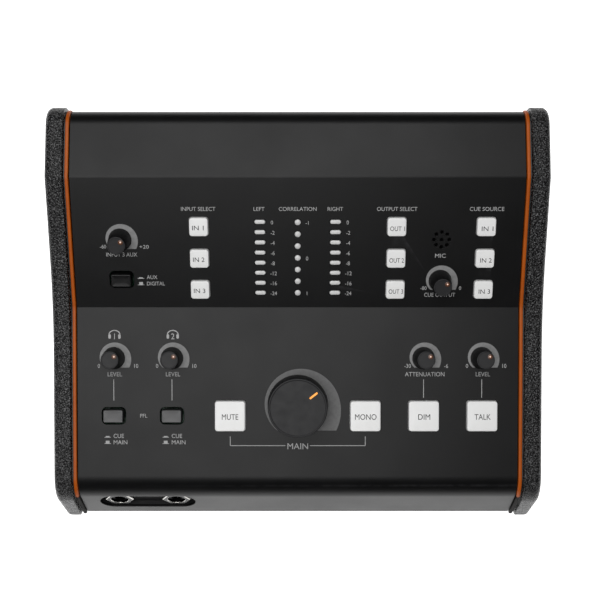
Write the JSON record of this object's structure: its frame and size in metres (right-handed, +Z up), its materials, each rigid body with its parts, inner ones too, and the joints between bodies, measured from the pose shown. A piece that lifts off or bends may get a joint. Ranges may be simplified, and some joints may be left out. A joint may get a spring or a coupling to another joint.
{
  "type": "studio monitor controller",
  "caption": "Wedge-shaped desktop controller for studio loudspeakers and headphones: folded steel panel, grained side cheeks, knobs, lit push buttons and level meters.",
  "frame": {"origin": "middle of the console's box, on the surface that its four feet stand on", "axes": "+X to the right of the person using it, +Y towards the rear connector panel, +Z up; the headphone sockets face -Y"},
  "size_m": [0.26, 0.2184, 0.0761],
  "materials": {
    "dark_powder_coat": "fine matt powder coat, dark grey",
    "orange_trim": "satin orange paint",
    "black_leatherette": "black leather-look grain on a hard moulded cheek",
    "knob_black": "soft matt black",
    "button_white": "translucent white, satin",
    "black_plastic": "moulded black",
    "foot_rubber": "black rubber",
    "board_green": "green solder mask",
    "lamp_diffuser": "frosted clear light guide",
    "nickel": "nickel plated",
    "capsule_metal": "drawn can"
  },
  "bodies": {
    "case": {"face_panel": "dark_powder_coat", "base_tray": "dark_powder_coat", "rear_panel": "dark_powder_coat", "left_trim": "orange_trim", "left_cheek": "black_leatherette", "right_trim": "orange_trim", "right_cheek": "black_leatherette", "front_left_foot": "foot_rubber", "front_right_foot": "foot_rubber", "rear_left_foot": "foot_rubber", "rear_right_foot": "foot_rubber", "upper_control_board": "board_green", "lower_control_board": "board_green", "rear_connector_board": "board_green", "left_meter_light_guide": "lamp_diffuser", "correlation_meter_light_guide": "lamp_diffuser", "right_meter_light_guide": "lamp_diffuser", "talkback_microphone": "capsule_metal", "headphone_jack_1": "nickel", "headphone_jack_2": "nickel", "input_2_jacks": "black_plastic", "output_1_jacks": "black_plastic", "output_2_jacks": "black_plastic", "output_3_jacks": "black_plastic", "input_1_left_socket": "black_plastic", "input_1_right_socket": "black_plastic", "phono_sockets": "black_plastic", "power_inlet": "black_plastic", "power_switch_housing": "black_plastic"},
    "aux_level_knob": {"aux_level_knob": "knob_black", "aux_level_shaft": "nickel"},
    "cue_output_knob": {"cue_output_knob": "knob_black", "cue_output_shaft": "nickel"},
    "headphone_1_knob": {"headphone_1_knob": "knob_black", "headphone_1_shaft": "nickel"},
    "headphone_2_knob": {"headphone_2_knob": "knob_black", "headphone_2_shaft": "nickel"},
    "attenuation_knob": {"attenuation_knob": "knob_black", "attenuation_shaft": "nickel"},
    "talk_level_knob": {"talk_level_knob": "knob_black", "talk_level_shaft": "nickel"},
    "main_knob": {"main_knob": "knob_black", "main_shaft": "nickel"},
    "mute_button": {"mute_button": "button_white"},
    "mono_button": {"mono_button": "button_white"},
    "dim_button": {"dim_button": "button_white"},
    "talk_button": {"talk_button": "button_white"},
    "headphone_1_source_button": {"headphone_1_source_button": "black_plastic"},
    "headphone_2_source_button": {"headphone_2_source_button": "black_plastic"},
    "aux_source_button": {"aux_source_button": "black_plastic"},
    "input_1_button": {"input_1_button": "button_white"},
    "input_2_button": {"input_2_button": "button_white"},
    "input_3_button": {"input_3_button": "button_white"},
    "output_1_button": {"output_1_button": "button_white"},
    "output_2_button": {"output_2_button": "button_white"},
    "output_3_button": {"output_3_button": "button_white"},
    "cue_source_1_button": {"cue_source_1_button": "button_white"},
    "cue_source_2_button": {"cue_source_2_button": "button_white"},
    "cue_source_3_button": {"cue_source_3_button": "button_white"},
    "power_rocker": {"power_rocker": "black_plastic"}
  },
  "joints": [
    {"name": "aux_level_turn", "type": "hinge", "parent": "case", "child": "aux_level_knob", "pos_m": [-0.0928, 0.03807, 0.06023], "axis": [0, -0.3843, 0.9232], "range_deg": [-100, 200]},
    {"name": "cue_output_turn", "type": "hinge", "parent": "case", "child": "cue_output_knob", "pos_m": [0.0751, 0.01748, 0.05166], "axis": [0, -0.3843, 0.9232], "range_deg": [-100, 200]},
    {"name": "headphone_1_turn", "type": "hinge", "parent": "case", "child": "headphone_1_knob", "pos_m": [-0.098, -0.02299, 0.04271], "axis": [0, -0.1219, 0.9925], "range_deg": [-100, 200]},
    {"name": "headphone_2_turn", "type": "hinge", "parent": "case", "child": "headphone_2_knob", "pos_m": [-0.067, -0.02299, 0.04271], "axis": [0, -0.1219, 0.9925], "range_deg": [-100, 200]},
    {"name": "attenuation_turn", "type": "hinge", "parent": "case", "child": "attenuation_knob", "pos_m": [0.067, -0.02299, 0.04271], "axis": [0, -0.1219, 0.9925], "range_deg": [-100, 200]},
    {"name": "talk_level_turn", "type": "hinge", "parent": "case", "child": "talk_level_knob", "pos_m": [0.098, -0.02299, 0.04271], "axis": [0, -0.1219, 0.9925], "range_deg": [-100, 200]},
    {"name": "main_turn", "type": "hinge", "parent": "case", "child": "main_knob", "pos_m": [0, -0.04771, 0.03967], "axis": [0, -0.1219, 0.9925], "range_deg": [-98, 202]},
    {"name": "mute_press", "type": "slide", "parent": "case", "child": "mute_button", "axis": [0, 0.1219, -0.9925], "range_m": [0, 0.0015], "stiffness_N_per_m": 500, "springref_m": -0.001},
    {"name": "mono_press", "type": "slide", "parent": "case", "child": "mono_button", "axis": [0, 0.1219, -0.9925], "range_m": [0, 0.0015], "stiffness_N_per_m": 500, "springref_m": -0.001},
    {"name": "dim_press", "type": "slide", "parent": "case", "child": "dim_button", "axis": [0, 0.1219, -0.9925], "range_m": [0, 0.0015], "stiffness_N_per_m": 500, "springref_m": -0.001},
    {"name": "talk_press", "type": "slide", "parent": "case", "child": "talk_button", "axis": [0, 0.1219, -0.9925], "range_m": [0, 0.0015], "stiffness_N_per_m": 500, "springref_m": -0.001},
    {"name": "headphone_1_source_press", "type": "slide", "parent": "case", "child": "headphone_1_source_button", "axis": [0, 0.1219, -0.9925], "range_m": [0, 0.002]},
    {"name": "headphone_2_source_press", "type": "slide", "parent": "case", "child": "headphone_2_source_button", "axis": [0, 0.1219, -0.9925], "range_m": [0, 0.002]},
    {"name": "aux_source_press", "type": "slide", "parent": "case", "child": "aux_source_button", "axis": [0, 0.3843, -0.9232], "range_m": [0, 0.002]},
    {"name": "input_1_press", "type": "slide", "parent": "case", "child": "input_1_button", "axis": [0, 0.3843, -0.9232], "range_m": [0, 0.0015], "stiffness_N_per_m": 500, "springref_m": -0.001},
    {"name": "input_2_press", "type": "slide", "parent": "case", "child": "input_2_button", "axis": [0, 0.3843, -0.9232], "range_m": [0, 0.0015], "stiffness_N_per_m": 500, "springref_m": -0.001},
    {"name": "input_3_press", "type": "slide", "parent": "case", "child": "input_3_button", "axis": [0, 0.3843, -0.9232], "range_m": [0, 0.0015], "stiffness_N_per_m": 500, "springref_m": -0.001},
    {"name": "output_1_press", "type": "slide", "parent": "case", "child": "output_1_button", "axis": [0, 0.3843, -0.9232], "range_m": [0, 0.0015], "stiffness_N_per_m": 500, "springref_m": -0.001},
    {"name": "output_2_press", "type": "slide", "parent": "case", "child": "output_2_button", "axis": [0, 0.3843, -0.9232], "range_m": [0, 0.0015], "stiffness_N_per_m": 500, "springref_m": -0.001},
    {"name": "output_3_press", "type": "slide", "parent": "case", "child": "output_3_button", "axis": [0, 0.3843, -0.9232], "range_m": [0, 0.0015], "stiffness_N_per_m": 500, "springref_m": -0.001},
    {"name": "cue_source_1_press", "type": "slide", "parent": "case", "child": "cue_source_1_button", "axis": [0, 0.3843, -0.9232], "range_m": [0, 0.0015], "stiffness_N_per_m": 500, "springref_m": -0.001},
    {"name": "cue_source_2_press", "type": "slide", "parent": "case", "child": "cue_source_2_button", "axis": [0, 0.3843, -0.9232], "range_m": [0, 0.0015], "stiffness_N_per_m": 500, "springref_m": -0.001},
    {"name": "cue_source_3_press", "type": "slide", "parent": "case", "child": "cue_source_3_button", "axis": [0, 0.3843, -0.9232], "range_m": [0, 0.0015], "stiffness_N_per_m": 500, "springref_m": -0.001},
    {"name": "power_rocker_tip", "type": "hinge", "parent": "case", "child": "power_rocker", "pos_m": [0.104, 0.10315, 0.0383], "axis": [1, 0, 0], "range_deg": [-16, 0]}
  ]
}
